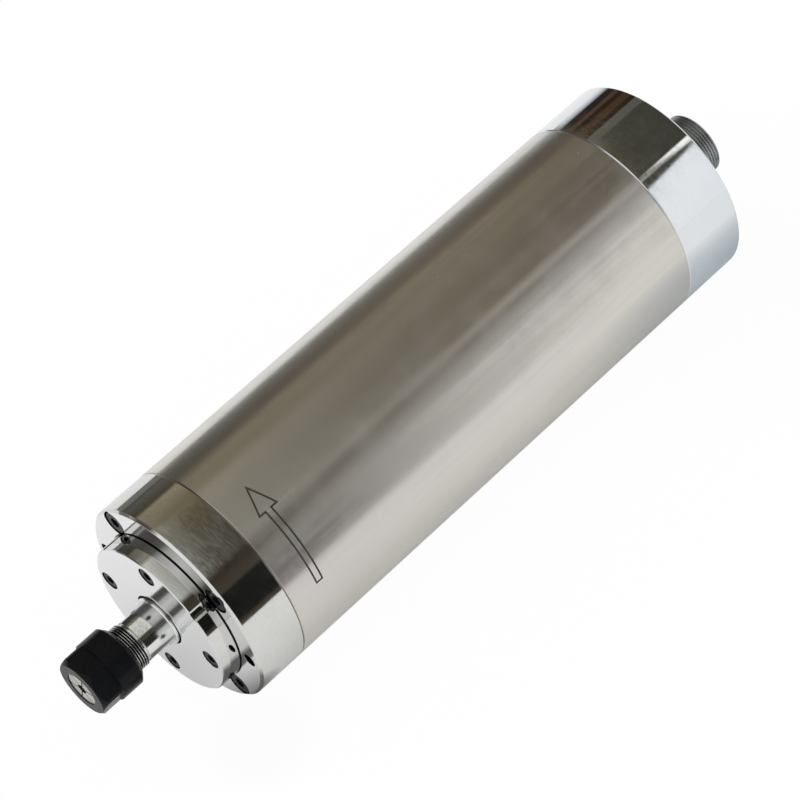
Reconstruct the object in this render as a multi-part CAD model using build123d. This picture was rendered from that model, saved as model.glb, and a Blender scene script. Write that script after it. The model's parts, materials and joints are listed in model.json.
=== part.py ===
from build123d import *
from math import cos, radians, sin, tan
import os

# Water-cooled motor spindle, lying on its side. Lengths in mm, angles in degrees.
# The nose points to +X, +Z is up. x = 0 is the front face of the body, on the spindle's axis,
# so every x behind that face is negative. Angles around the axis start at +Y and turn towards +Z.

# outer body
body_d = 65.0
body_length = 195.0
front_housing_length = 16.0
rear_cap_length = 21.7
shell_wall = 1.9
front_edge_chamfer = 0.7
rear_edge_chamfer = 0.5
seam_chamfer = 0.25

# fits between fixed pieces
sliding_gap = 0.02
press_gap = 0.005

# water jacket inside the shell, with its spiral channel and its two ports
jacket_wall = 6.4
jacket_rear_step = 0.4
jacket_rear_bore_depth = 16.3
channel_width = 6.5
channel_depth = 1.5
channel_pitch = 11.0
channel_margin = 10.0
o_ring_section = 1.8
o_ring_round = 0.7
o_ring_front_inset = 13.0
o_ring_rear_inset = 12.3
port_wall = 1.98
port_bore_d = 2.8
outlet_angle = -112.5
inlet_angle = -157.5

# front bearings: two with a spacer between them, behind the cap's spigot
front_bearing_bore = 15.0
front_bearing_outer = 32.0
front_bearing_width = 9.0
front_bearing_x = -2.0
front_ball_count = 11
spacer_width = 2.0
spacer_wall = 2.0

# rear bearing
rear_bearing_bore = 12.0
rear_bearing_outer = 28.0
rear_bearing_width = 8.0
rear_bearing_inset = 15.3
rear_ball_count = 10

# inside every bearing
ball_d = 4.762
race_gap = 0.05
land_offset = 1.72
open_side_lip = 0.15
cage_inset = 1.0
cage_wall = 1.5
cage_pocket_gap = 0.15

# front cap (the boss around the nose) and its shallow seat in the front face
cap_height = 6.6
cap_seat_depth = 1.0
cap_seat_gap = 0.12
cap_rim = 4.4
cap_screw_land = 4.1
cap_lip = 3.4
cap_edge_chamfer = 0.3

# screws, all socket heads
m3_d = 3.0
m3_clear_d = 3.4
m3_head_d = 5.5
m3_head_height = 3.0
m3_counterbore_d = 6.0
m3_hex = 2.5
m3_engagement = 5.7
m4_d = 4.0
m4_clear_d = 4.4
m4_head_d = 7.0
m4_head_height = 4.0
m4_counterbore_d = 8.0
m4_hex = 3.0
m4_front_engagement = 8.3
m4_rear_engagement = 7.6
tap_spare = 0.7
head_below_face = 0.3
socket_depth_share = 0.6
cap_screw_angles = (0, 90, 180, 270)
flange_screw_angles = (45, 135, 225, 315)
rear_screw_angles = (0, 90, 180, 270)
screw_edge_distance = 4.4
jack_hole_d = 4.2
jack_hole_edge_distance = 4.1
jack_hole_angles = (0, 180)

# shaft
nose_wall = 1.25
nose_chamfer = 0.3
thread_gap = 0.05
nose_thread_length = 14.0
thread_relief_depth = 0.7
thread_relief_width = 0.7
flat_depth = 0.5
flats_inset = 2.2
flats_length = 6.6
shaft_rest_turn = 57.7
collar_shoulder = 0.4
collar_reach = 0.9
collar_gap = 0.5
rotor_seat_step = 0.2
rotor_seat_gap = 1.0
shaft_end_reach = 0.5
draw_bore_d = 7.2
draw_bore_depth = 22.4
taper_angle = 8.0
taper_gap = 0.02

# slinger ring and lock nuts on the shaft
slinger_rim_gap = 0.4
slinger_rim_x = 0.2
slinger_width = 2.5
slinger_end_gap = 0.6
slinger_hub_wall = 1.7
front_lock_nut_gap = 2.2
front_lock_nut_width = 6.0
rear_lock_nut_gap = 1.8
rear_lock_nut_width = 4.5
lock_nut_slot_width = 3.0
lock_nut_slot_depth = 1.5
lock_nut_slot_count = 4

# front housing, behind its outer ring
housing_spigot_length = 9.5
housing_lip_width = 1.8

# stator
front_winding_gap = 9.5
rear_winding_gap = 6.0
stator_bore_d = 27.6
core_back = 3.0
slot_count = 24
slot_opening = 1.6
slot_opening_depth = 1.0
slot_root_width = 2.1
slot_back_width = 3.4
wire_gap = 0.15
wire_reach = 3.0
end_turn_bore_gap = 1.2
end_turn_wall_gap = 1.9
end_turn_length = 15.0
end_turn_round = 1.5
wedge_thickness = 0.6
wedge_gap = 0.05

# rotor
air_gap = 0.35
rotor_bar_count = 18
rotor_bar_d = 1.8
rotor_bar_depth = 1.45
end_ring_step = 0.25
end_ring_wall = 3.2
end_ring_length = 6.0
balance_ring_step = 1.45
balance_ring_length = 4.0
balance_hole_d = 2.0
balance_hole_depth = 2.0
front_balance_angles = (20, 65)
rear_balance_angles = (200, 245)

# rear bearing carrier, with one hole for each lead
carrier_shoulder = 2.0
carrier_lip_width = 3.0
carrier_lip_length = 2.0
carrier_tail_wall = 5.6
spring_space = 2.3
spring_thickness = 0.5
spring_rim_gap = 0.3
spring_lip_gap = 0.6
lead_d = 1.8
lead_hole_d = 2.6
lead_hole_wall = 1.2
lead_hole_angles = (102, 90, 78)

# rear cap and the round plug receptacle in it
cavity_step = 1.0
rear_wall = 4.5
receptacle_thread_d = 20.0
receptacle_thread_step = 1.0
receptacle_wall = 1.0
receptacle_length = 17.5
receptacle_edge = 0.5
receptacle_flange_width = 3.0
receptacle_flange_length = 3.0
receptacle_stem_length = 10.0
receptacle_nut_wall = 3.0
receptacle_nut_length = 3.0
gasket_thickness = 0.8
gasket_inset = 0.5
insulator_inset = 1.0
insulator_length = 14.0
key_width = 1.4
key_reach = 0.6
key_gap = 0.1
key_inset = 2.0
pin_d = 2.0
pin_round = 0.8
pin_circle_d = 8.4
pin_angles = (0, 90, 180, 270)
pin_length = 24.0
pin_reach = 2.0
solder_cup_d = 1.2
solder_cup_depth = 1.5
solder_gap = 0.1

# hose fittings and the seals of the two ports
fitting_thread_d = 6.0
fitting_thread_length = 7.0
fitting_drill_spare = 1.0
fitting_hex = 8.0
fitting_hex_length = 4.0
barb_d = 6.4
barb_root_d = 5.2
barb_count = 3
barb_pitch = 4.0
barb_flat = 1.0
washer_width = 1.3
port_ring_section = 1.0
port_ring_d = 4.1
port_ring_squeeze = 0.2
port_ring_round = 0.3

# collet with a 1/8 inch bore
collet_d = 11.5
collet_bore_d = 3.175
collet_length = 18.0
collet_reach = 4.4
collet_cone_angle = 30.0
collet_cone_depth = 0.45
collet_head_length = 1.9
collet_groove_length = 1.6
collet_groove_depth = 0.8
collet_slot_width = 0.4
collet_slots_each_end = 6
collet_slot_land = 2.8
collet_slot_turn = 15.0

# collet nut
nut_wall = 2.5
nut_length = 15.0
nut_overhang = 0.2
nut_hex_length = 7.0
nut_flat_depth = 1.0
nut_rest_turn = 5.7
nut_front_chamfer_length = 1.3
nut_front_chamfer_depth = 1.2
nut_back_chamfer_length = 1.3
nut_back_chamfer_depth = 1.4
nut_lip_gap = 0.4
nut_lip_play = 0.1
nut_seat_gap = 0.05
nut_relief_depth = 0.4
nut_relief_length = 0.9
nut_relief_cone = 0.5

# body, from the front face backwards
rear_face_x = -body_length
shell_front_x = -front_housing_length
shell_rear_x = rear_face_x + rear_cap_length
shell_bore_d = body_d - 2 * shell_wall
jacket_d = shell_bore_d - 2 * sliding_gap
jacket_bore_d = shell_bore_d - 2 * jacket_wall
jacket_rear_bore_d = jacket_bore_d + 2 * jacket_rear_step
o_ring_front_x = shell_front_x - o_ring_front_inset
o_ring_rear_x = shell_rear_x + o_ring_rear_inset
channel_front_x = o_ring_front_x - channel_margin
channel_room = o_ring_front_x - o_ring_rear_x - 2 * channel_margin
port_turn = ((inlet_angle - outlet_angle) % 360) / 360
channel_turns = int(channel_room / channel_pitch - port_turn) + port_turn
channel_rear_x = channel_front_x - channel_pitch * channel_turns
port_circle_r = jacket_d / 2 - port_wall - port_bore_d / 2
port_angles = (outlet_angle, inlet_angle)
screw_circle_d = body_d - 2 * screw_edge_distance
jack_hole_circle_d = body_d - 2 * jack_hole_edge_distance

# front end
bearings_end_x = front_bearing_x - 2 * front_bearing_width - spacer_width
spigot_end_x = shell_front_x - housing_spigot_length
housing_lip_d = front_bearing_outer - 2 * housing_lip_width
front_lock_nut_d = housing_lip_d - 2 * front_lock_nut_gap
cap_screw_circle_d = front_bearing_outer + 2 * cap_screw_land
cap_d = cap_screw_circle_d + 2 * cap_rim
collar_d = front_bearing_bore + 2 * collar_shoulder
collar_x = cap_height + collar_reach
collar_back_x = slinger_rim_x + slinger_width
cap_bore_d = collar_d + 2 * collar_gap
cap_recess_d = cap_bore_d + 2 * cap_lip
cap_recess_x = collar_back_x + slinger_end_gap
slinger_d = cap_recess_d - 2 * slinger_rim_gap
slinger_hub_d = front_bearing_bore + 2 * slinger_hub_wall
cap_head_seat_x = cap_height - head_below_face - m3_head_height

# nose, collet and nut
thread_d = collet_d + 2 * nose_wall
flats_back_x = collar_x + flats_inset
flats_across = thread_d - 2 * flat_depth
thread_relief_x = flats_back_x + flats_length
thread_relief_d = thread_d - 2 * thread_relief_depth
thread_back_x = thread_relief_x + thread_relief_width
nose_x = thread_back_x + nose_thread_length
collet_face_x = nose_x + collet_reach
collet_back_x = collet_face_x - collet_length
collet_head_back_x = collet_face_x - collet_head_length
collet_taper_x = collet_head_back_x - collet_groove_length
collet_groove_d = collet_d - 2 * collet_groove_depth
collet_face_d = collet_d - 2 * collet_cone_depth
draw_bore_end_x = collet_back_x - draw_bore_depth
nut_d = thread_d + 2 * nut_wall
nut_hex = nut_d - 2 * nut_flat_depth
nut_face_x = collet_face_x + nut_overhang
nut_back_x = nut_face_x - nut_length
nut_hex_back_x = nut_face_x - nut_hex_length
nut_lip_d = collet_groove_d + 2 * nut_lip_gap
nut_lip_x = collet_taper_x + nut_lip_play
nut_relief_d = thread_d + 2 * nut_relief_depth
nut_relief_end_x = nut_lip_x - nut_relief_cone
nut_thread_end_x = nut_relief_end_x - nut_relief_length

# rear end
rear_bearing_x = shell_rear_x + rear_bearing_inset
rear_bearing_back_x = rear_bearing_x - rear_bearing_width
carrier_x = rear_bearing_x + carrier_shoulder
carrier_lip_x = rear_bearing_back_x - spring_space
carrier_tail_x = carrier_lip_x - carrier_lip_length
carrier_lip_d = rear_bearing_outer - 2 * carrier_lip_width
carrier_tail_bore_d = jacket_rear_bore_d - 2 * carrier_tail_wall
rear_lock_nut_d = carrier_lip_d - 2 * rear_lock_nut_gap
shaft_end_x = rear_bearing_back_x - rear_lock_nut_width - shaft_end_reach
lead_circle_r = rear_bearing_outer / 2 + lead_hole_wall + lead_hole_d / 2
rear_cavity_d = jacket_bore_d - 2 * cavity_step
receptacle_stem_d = receptacle_thread_d - 2 * receptacle_thread_step
receptacle_bore_d = receptacle_stem_d - 2 * receptacle_wall
receptacle_flange_d = receptacle_thread_d + 2 * receptacle_flange_width
receptacle_nut_hex = receptacle_stem_d + 2 * receptacle_nut_wall
receptacle_front_x = rear_face_x + receptacle_stem_length
receptacle_rear_x = rear_face_x - receptacle_length
pin_front_x = receptacle_front_x + pin_reach
washer_d = fitting_thread_d + 2 * washer_width
port_ring_seat_x = shell_rear_x - port_ring_section + port_ring_squeeze

# motor, between the front housing and the rear carrier
core_x = spigot_end_x - front_winding_gap - end_turn_length
core_rear_x = carrier_x + rear_winding_gap + end_turn_length
core_length = core_x - core_rear_x
slot_bottom_d = jacket_bore_d - 2 * core_back
end_turn_inner_d = stator_bore_d + 2 * end_turn_bore_gap
end_turn_outer_d = jacket_bore_d - 2 * end_turn_wall_gap
rotor_seat_d = front_bearing_bore - 2 * rotor_seat_step
rotor_seat_x = bearings_end_x - front_lock_nut_width - rotor_seat_gap
rotor_d = stator_bore_d - 2 * air_gap
rotor_bar_circle_d = rotor_d - 2 * rotor_bar_depth
end_ring_d = rotor_d - 2 * end_ring_step
end_ring_bore_d = end_ring_d - 2 * end_ring_wall
balance_ring_d = rotor_d - 2 * balance_ring_step
balance_hole_circle_d = (balance_ring_d + rotor_seat_d) / 2


def at(circle_r, angle):
    return (circle_r * cos(radians(angle)), circle_r * sin(radians(angle)))


def plane_at(x):
    return Plane.YZ.offset(x)


def disc(x_rear, x_front, diameter, centre=(0, 0)):
    sketch = plane_at(x_rear) * Pos(*centre) * Circle(diameter / 2)
    return extrude(sketch, x_front - x_rear)


def ring(x_rear, x_front, outer_d, inner_d, centre=(0, 0)):
    return disc(x_rear, x_front, outer_d, centre) - disc(x_rear, x_front, inner_d, centre)


def discs(x_rear, x_front, diameter, circle_d, angles):
    return [disc(x_rear, x_front, diameter, at(circle_d / 2, angle)) for angle in angles]


def hexagon(x_rear, x_front, across_flats, centre=(0, 0), turn=0.0):
    corner_r = across_flats / 2 / cos(radians(30))
    sketch = plane_at(x_rear) * Pos(*centre) * Rot(0, 0, turn) * RegularPolygon(corner_r, 6)
    return extrude(sketch, x_front - x_rear)


def turned(points):
    return revolve(make_face(Polyline(*points, close=True)), Axis.X)


def spaced(count):
    return [360 * i / count for i in range(count)]


def group(solids):
    return Compound(children=list(solids))


def front_edges(shape):
    return shape.edges().group_by(Axis.X)[-1]


def rear_edges(shape):
    return shape.edges().group_by(Axis.X)[0]


def socket_screw(head_face_x, tip_x, circle_d, angle, size, head_d, head_height, hex_key):
    step = 1 if tip_x > head_face_x else -1
    seat_x = head_face_x + step * head_height
    socket_x = head_face_x + step * head_height * socket_depth_share
    centre = at(circle_d / 2, angle)
    screw = disc(*sorted((head_face_x, seat_x)), head_d, centre)
    screw += disc(*sorted((seat_x, tip_x)), size, centre)
    return screw - hexagon(*sorted((head_face_x, socket_x)), hex_key, centre)


def front_cap():
    cap = disc(-cap_seat_depth, cap_height, cap_d)
    cap = chamfer(front_edges(cap), cap_edge_chamfer)
    cap += disc(front_bearing_x, -cap_seat_depth, front_bearing_outer - 2 * sliding_gap)
    cap -= disc(front_bearing_x, cap_recess_x, cap_recess_d)
    cap -= disc(cap_recess_x, cap_height, cap_bore_d)
    for hole in discs(-cap_seat_depth, cap_head_seat_x, m3_clear_d, cap_screw_circle_d, cap_screw_angles):
        cap -= hole
    for hole in discs(cap_head_seat_x, cap_height, m3_counterbore_d, cap_screw_circle_d, cap_screw_angles):
        cap -= hole
    for hole in discs(-cap_seat_depth, cap_height, m4_counterbore_d, screw_circle_d, flange_screw_angles):
        cap -= hole
    return cap


def cap_screws():
    face_x = cap_height - head_below_face
    tip_x = -cap_seat_depth - m3_engagement
    return group(socket_screw(face_x, tip_x, cap_screw_circle_d, angle,
                              m3_d, m3_head_d, m3_head_height, m3_hex)
                 for angle in cap_screw_angles)


def front_housing():
    body = disc(shell_front_x, 0, body_d)
    body = chamfer(front_edges(body), front_edge_chamfer)
    body = chamfer(rear_edges(body), seam_chamfer)
    body += disc(spigot_end_x, shell_front_x, jacket_bore_d - 2 * sliding_gap)
    body -= disc(-cap_seat_depth, 0, cap_d + 2 * cap_seat_gap)
    body -= disc(bearings_end_x, 0, front_bearing_outer)
    body -= disc(spigot_end_x, bearings_end_x, housing_lip_d)
    seat_x = -m4_head_height - head_below_face
    tap_end_x = -cap_seat_depth - m3_engagement - tap_spare
    for hole in discs(seat_x, 0, m4_counterbore_d, screw_circle_d, flange_screw_angles):
        body -= hole
    for hole in discs(shell_front_x, seat_x, m4_clear_d, screw_circle_d, flange_screw_angles):
        body -= hole
    for hole in discs(tap_end_x, 0, m3_d, cap_screw_circle_d, cap_screw_angles):
        body -= hole
    for hole in discs(shell_front_x, 0, jack_hole_d, jack_hole_circle_d, jack_hole_angles):
        body -= hole
    return body


def flange_screws():
    tip_x = shell_front_x - m4_front_engagement
    return group(socket_screw(-head_below_face, tip_x, screw_circle_d, angle,
                              m4_d, m4_head_d, m4_head_height, m4_hex)
                 for angle in flange_screw_angles)


def outer_shell():
    shell = disc(shell_rear_x, shell_front_x, body_d)
    shell = chamfer(front_edges(shell), seam_chamfer)
    shell = chamfer(rear_edges(shell), seam_chamfer)
    return shell - disc(shell_rear_x, shell_front_x, shell_bore_d)


def spiral_channel():
    path = Helix(channel_pitch, channel_pitch * channel_turns, jacket_d / 2,
                 center=(channel_front_x, 0, 0), direction=(-1, 0, 0))
    start = path @ 0
    outward = Vector(0, start.Y, start.Z).normalized()
    section = Plane(origin=start, x_dir=outward, z_dir=path % 0) * Rectangle(2 * channel_depth, channel_width)
    start_angle = outward.get_signed_angle(Vector(0, 1, 0), Vector(-1, 0, 0))
    return Rot(inlet_angle - start_angle, 0, 0) * sweep(section, path, is_frenet=True)


def port_bores():
    bores = []
    for angle, end_x in ((outlet_angle, channel_rear_x), (inlet_angle, channel_front_x)):
        bores.append(disc(end_x, shell_rear_x, port_bore_d, at(port_circle_r, angle)))
        depth = jacket_d / 2 - port_circle_r
        drilled = Rot(90, 0, 0) * Cylinder(port_bore_d / 2, depth)
        bores.append(Rot(angle, 0, 0) * Pos(end_x, port_circle_r + depth / 2, 0) * drilled)
    return bores


def o_ring_groove(x):
    return ring(x - o_ring_section / 2, x + o_ring_section / 2, shell_bore_d, jacket_d - 2 * o_ring_section)


def water_jacket():
    jacket = ring(shell_rear_x, shell_front_x, jacket_d, jacket_bore_d)
    jacket -= disc(shell_rear_x, shell_rear_x + jacket_rear_bore_depth, jacket_rear_bore_d)
    jacket -= o_ring_groove(o_ring_front_x)
    jacket -= o_ring_groove(o_ring_rear_x)
    front_tap_end_x = shell_front_x - m4_front_engagement - tap_spare
    rear_tap_end_x = shell_rear_x + m4_rear_engagement + tap_spare
    for hole in discs(front_tap_end_x, shell_front_x, m4_d, screw_circle_d, flange_screw_angles):
        jacket -= hole
    for hole in discs(shell_rear_x, rear_tap_end_x, m4_d, screw_circle_d, rear_screw_angles):
        jacket -= hole
    jacket -= spiral_channel()
    for bore in port_bores():
        jacket -= bore
    return jacket


def jacket_o_rings():
    return group(fillet(o_ring_groove(x).edges(), o_ring_round) for x in (o_ring_front_x, o_ring_rear_x))


def bearing(x_front, bore, outer, width, ball_count, open_side_front):
    x_rear = x_front - width
    x_mid = (x_front + x_rear) / 2
    pitch_r = (bore + outer) / 4
    groove = Pos(x_mid, 0, 0) * Rot(0, 90, 0) * Torus(pitch_r, ball_d / 2 + race_gap)
    outer_ring = ring(x_rear, x_front, outer, 2 * (pitch_r + land_offset)) - groove
    inner_ring = ring(x_rear, x_front, 2 * (pitch_r - land_offset), bore) - groove
    open_side = (x_mid, x_front) if open_side_front else (x_rear, x_mid)
    outer_ring -= disc(*open_side, 2 * (pitch_r + ball_d / 2 - open_side_lip))
    cage = ring(x_rear + cage_inset, x_front - cage_inset, 2 * pitch_r + cage_wall, 2 * pitch_r - cage_wall)
    balls = []
    for angle in spaced(ball_count):
        place = Pos(x_mid, *at(pitch_r, angle))
        balls.append(place * Sphere(ball_d / 2))
        cage -= place * Sphere(ball_d / 2 + cage_pocket_gap)
    return outer_ring, inner_ring, group(balls), cage


def front_bearings():
    second_x = front_bearing_x - front_bearing_width - spacer_width
    size = (front_bearing_bore, front_bearing_outer, front_bearing_width, front_ball_count)
    return bearing(front_bearing_x, *size, False), bearing(second_x, *size, True)


def rear_bearing():
    size = (rear_bearing_bore, rear_bearing_outer, rear_bearing_width, rear_ball_count)
    return bearing(rear_bearing_x, *size, True)


def spacers():
    x_front = front_bearing_x - front_bearing_width
    x_rear = x_front - spacer_width
    outer = ring(x_rear, x_front, front_bearing_outer, front_bearing_outer - 2 * spacer_wall)
    inner = ring(x_rear, x_front, front_bearing_bore + 2 * spacer_wall, front_bearing_bore)
    return outer, inner


def taper_r(x):
    return collet_d / 2 - (collet_taper_x - x) * tan(radians(taper_angle))


def shaft():
    stem_r, seat_r, rotor_r = thread_d / 2, front_bearing_bore / 2, rotor_seat_d / 2
    thread_r, end_r = thread_d / 2 - thread_gap, rear_bearing_bore / 2
    bore_r, collar_r = draw_bore_d / 2, collar_d / 2
    socket_end_x = collet_taper_x - (collet_d / 2 + taper_gap - bore_r) / tan(radians(taper_angle))
    body = turned([
        (draw_bore_end_x, 0), (draw_bore_end_x, bore_r), (socket_end_x, bore_r),
        (nose_x, taper_r(nose_x) + taper_gap), (nose_x, thread_r - nose_chamfer),
        (nose_x - nose_chamfer, thread_r), (thread_back_x, thread_r),
        (thread_back_x, thread_relief_d / 2), (thread_relief_x, thread_relief_d / 2),
        (thread_relief_x, stem_r), (collar_x, stem_r), (collar_x, collar_r - nose_chamfer),
        (collar_x - nose_chamfer, collar_r), (collar_back_x, collar_r), (collar_back_x, seat_r),
        (rotor_seat_x, seat_r), (rotor_seat_x, rotor_r), (rear_bearing_x, rotor_r),
        (rear_bearing_x, end_r), (shaft_end_x, end_r), (shaft_end_x, 0)])
    for side in (1, -1):
        block = Pos(flats_back_x + flats_length / 2, side * (flats_across + thread_d) / 2, 0)
        block = block * Box(flats_length, thread_d, thread_d)
        body -= Rot(shaft_rest_turn - 90, 0, 0) * block
    return body


def slinger_ring():
    slinger = ring(slinger_rim_x, collar_back_x, slinger_d, front_bearing_bore)
    return slinger + ring(front_bearing_x, slinger_rim_x, slinger_hub_d, front_bearing_bore)


def lock_nut(x_front, width, diameter, bore):
    nut = ring(x_front - width, x_front, diameter, bore)
    for angle in spaced(lock_nut_slot_count):
        slot = Box(width, 2 * lock_nut_slot_depth, lock_nut_slot_width)
        nut -= Rot(angle, 0, 0) * Pos(x_front - width / 2, diameter / 2, 0) * slot
    return nut


def slot_bar(gap, x_rear, x_front, angle):
    root_r = stator_bore_d / 2 + slot_opening_depth + gap
    back_r = slot_bottom_d / 2 - gap
    root = slot_root_width / 2 - gap
    back = slot_back_width / 2 - gap
    outline = Polyline((root_r, -root), (back_r, -back), (back_r, back), (root_r, root), close=True)
    return extrude(plane_at(x_rear) * Rot(0, 0, angle) * make_face(outline), x_front - x_rear)


def slot_mouth(width, depth, angle):
    middle_r = stator_bore_d / 2 + slot_opening_depth / 2
    sketch = plane_at(core_rear_x) * Rot(0, 0, angle) * Pos(middle_r, 0) * Rectangle(depth, width)
    return extrude(sketch, core_length)


def stator_core():
    core = ring(core_rear_x, core_x, jacket_bore_d - 2 * press_gap, stator_bore_d)
    for angle in spaced(slot_count):
        core -= slot_mouth(slot_opening, 2 * slot_opening_depth, angle)
        core -= slot_bar(0, core_rear_x, core_x, angle)
    return core


def end_turn(x_rear, x_front):
    bundle = ring(x_rear, x_front, end_turn_outer_d, end_turn_inner_d)
    wall = (end_turn_outer_d - end_turn_inner_d) / 2
    return fillet(bundle.edges(), min(end_turn_round, wall / 3))


def stator_winding():
    winding = end_turn(core_x, core_x + end_turn_length)
    winding += end_turn(core_rear_x - end_turn_length, core_rear_x)
    for angle in spaced(slot_count):
        winding += slot_bar(wire_gap, core_rear_x - wire_reach, core_x + wire_reach, angle)
    return winding


def slot_wedges():
    width = slot_opening - 2 * wedge_gap
    return group(slot_mouth(width, wedge_thickness, angle) for angle in spaced(slot_count))


def rotor_core():
    core = ring(core_rear_x, core_x, rotor_d, rotor_seat_d)
    for hole in discs(core_rear_x, core_x, rotor_bar_d, rotor_bar_circle_d, spaced(rotor_bar_count)):
        core -= hole
    return core


def rotor_cage():
    cage = ring(core_x, core_x + end_ring_length, end_ring_d, end_ring_bore_d)
    cage += ring(core_rear_x - end_ring_length, core_rear_x, end_ring_d, end_ring_bore_d)
    for bar in discs(core_rear_x, core_x, rotor_bar_d, rotor_bar_circle_d, spaced(rotor_bar_count)):
        cage += bar
    return cage


def balance_ring(x_rear, hole_angles):
    body = ring(x_rear, x_rear + balance_ring_length, balance_ring_d, rotor_seat_d)
    hole_end_x = x_rear + balance_hole_depth
    for hole in discs(x_rear, hole_end_x, balance_hole_d, balance_hole_circle_d, hole_angles):
        body -= hole
    return body


def rear_carrier():
    tail_front_x = shell_rear_x + jacket_rear_bore_depth
    body = disc(tail_front_x, carrier_x, jacket_bore_d - 2 * sliding_gap)
    body += disc(shell_rear_x, tail_front_x, jacket_rear_bore_d - 2 * sliding_gap)
    body -= disc(carrier_lip_x, carrier_x, rear_bearing_outer)
    body -= disc(carrier_tail_x, carrier_lip_x, carrier_lip_d)
    body -= disc(shell_rear_x, carrier_tail_x, carrier_tail_bore_d)
    for hole in discs(shell_rear_x, carrier_x, lead_hole_d, 2 * lead_circle_r, lead_hole_angles):
        body -= hole
    return body


def preload_spring():
    outer_r = rear_bearing_outer / 2 - spring_rim_gap
    inner_r = carrier_lip_d / 2 + spring_lip_gap
    return turned([(rear_bearing_back_x, outer_r), (rear_bearing_back_x - spring_thickness, outer_r),
                   (carrier_lip_x, inner_r), (carrier_lip_x + spring_thickness, inner_r)])


def rear_cap():
    cap = disc(rear_face_x, shell_rear_x, body_d)
    cap = chamfer(rear_edges(cap), rear_edge_chamfer)
    cap = chamfer(front_edges(cap), seam_chamfer)
    cap -= disc(rear_face_x + rear_wall, shell_rear_x, rear_cavity_d)
    cap -= disc(rear_face_x, rear_face_x + rear_wall, receptacle_stem_d)
    seat_x = rear_face_x + m4_head_height + head_below_face
    for hole in discs(rear_face_x, seat_x, m4_counterbore_d, screw_circle_d, rear_screw_angles):
        cap -= hole
    for hole in discs(seat_x, shell_rear_x, m4_clear_d, screw_circle_d, rear_screw_angles):
        cap -= hole
    drill_end_x = rear_face_x + fitting_thread_length + fitting_drill_spare
    for angle in port_angles:
        centre = at(port_circle_r, angle)
        cap -= disc(rear_face_x, shell_rear_x, port_bore_d, centre)
        cap -= disc(rear_face_x, drill_end_x, fitting_thread_d, centre)
        cap -= disc(port_ring_seat_x, shell_rear_x, port_ring_d + port_ring_section, centre)
    return cap


def port_o_rings():
    seals = []
    for angle in port_angles:
        seal = ring(port_ring_seat_x, shell_rear_x, port_ring_d + port_ring_section,
                    port_ring_d - port_ring_section, at(port_circle_r, angle))
        seals.append(fillet(seal.edges(), port_ring_round))
    return group(seals)


def rear_cap_screws():
    face_x = rear_face_x + head_below_face
    tip_x = shell_rear_x + m4_rear_engagement
    return group(socket_screw(face_x, tip_x, screw_circle_d, angle, m4_d, m4_head_d, m4_head_height, m4_hex)
                 for angle in rear_screw_angles)


def receptacle_shell():
    flange_x = rear_face_x - gasket_thickness
    shell = disc(receptacle_rear_x, flange_x, receptacle_thread_d)
    shell = chamfer(rear_edges(shell), receptacle_edge)
    shell += disc(flange_x - receptacle_flange_length, flange_x, receptacle_flange_d)
    shell += disc(flange_x, receptacle_front_x, receptacle_stem_d - 2 * sliding_gap)
    shell -= disc(receptacle_rear_x, receptacle_front_x, receptacle_bore_d)
    key_length = flange_x - receptacle_rear_x - 2 * key_inset
    key = Pos((receptacle_rear_x + flange_x) / 2, 0, receptacle_bore_d / 2)
    return shell + key * Box(key_length, key_width, 2 * key_reach)


def receptacle_gasket():
    gasket_d = receptacle_flange_d - 2 * gasket_inset
    return ring(rear_face_x - gasket_thickness, rear_face_x, gasket_d, receptacle_stem_d)


def receptacle_insulator():
    x_front = receptacle_front_x - insulator_inset
    x_rear = x_front - insulator_length
    body = disc(x_rear, x_front, receptacle_bore_d - 2 * sliding_gap)
    keyway = Box(insulator_length, key_width + 2 * key_gap, 2 * (key_reach + key_gap))
    body -= Pos((x_front + x_rear) / 2, 0, receptacle_bore_d / 2) * keyway
    for hole in discs(x_rear, x_front, pin_d, pin_circle_d, pin_angles):
        body -= hole
    return body


def receptacle_pins():
    pins = []
    for angle in pin_angles:
        centre = at(pin_circle_d / 2, angle)
        pin = disc(pin_front_x - pin_length, pin_front_x, pin_d, centre)
        pin = fillet(rear_edges(pin), pin_round)
        pins.append(pin - disc(pin_front_x - solder_cup_depth, pin_front_x, solder_cup_d, centre))
    return group(pins)


def receptacle_nut():
    x_rear = rear_face_x + rear_wall
    nut = hexagon(x_rear, x_rear + receptacle_nut_length, receptacle_nut_hex)
    return nut - disc(x_rear, x_rear + receptacle_nut_length, receptacle_stem_d)


def phase_leads():
    start_x = core_rear_x - end_turn_length
    back = (-1, 0, 0)
    leads = []
    for lead_angle, pin_angle in zip(lead_hole_angles, reversed(pin_angles[:3])):
        y, z = at(lead_circle_r, lead_angle)
        straight = Line((start_x, y, z), (carrier_tail_x, y, z))
        pin_end = (pin_front_x + solder_gap, *at(pin_circle_d / 2, pin_angle))
        bend = Spline(straight @ 1, pin_end, tangents=(back, back))
        section = Plane(origin=straight @ 0, z_dir=back) * Circle(lead_d / 2)
        leads.append(sweep(section, Wire([straight, bend])))
    return group(leads)


def fitting_washers():
    x_rear = rear_face_x - gasket_thickness
    return group(ring(x_rear, rear_face_x, washer_d, fitting_thread_d, at(port_circle_r, angle))
                 for angle in port_angles)


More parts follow.
